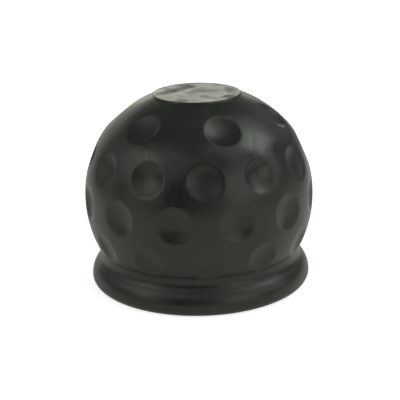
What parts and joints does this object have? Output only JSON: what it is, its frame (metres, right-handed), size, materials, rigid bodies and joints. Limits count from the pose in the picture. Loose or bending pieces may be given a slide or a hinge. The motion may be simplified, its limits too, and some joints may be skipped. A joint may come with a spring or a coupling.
{
  "type": "tow ball cover",
  "caption": "Soft black rubber cap shaped like a dimpled ball with a raised flat top and a fat bead about its mouth, which snaps over a tow ball to keep off dirt and grease.",
  "frame": {"origin": "centre of the flat foot of the bead, where the cover stands", "axes": "+Z along the cover's own axis, from the mouth towards the flat top; -Y is the side that faces the viewer, between two dimples of the highest row"},
  "size_m": [0.062, 0.062, 0.0522],
  "materials": {
    "rubber": "semi-matte moulded black rubber"
  },
  "bodies": {
    "root": {"ball_cover": "rubber"}
  },
  "joints": []
}
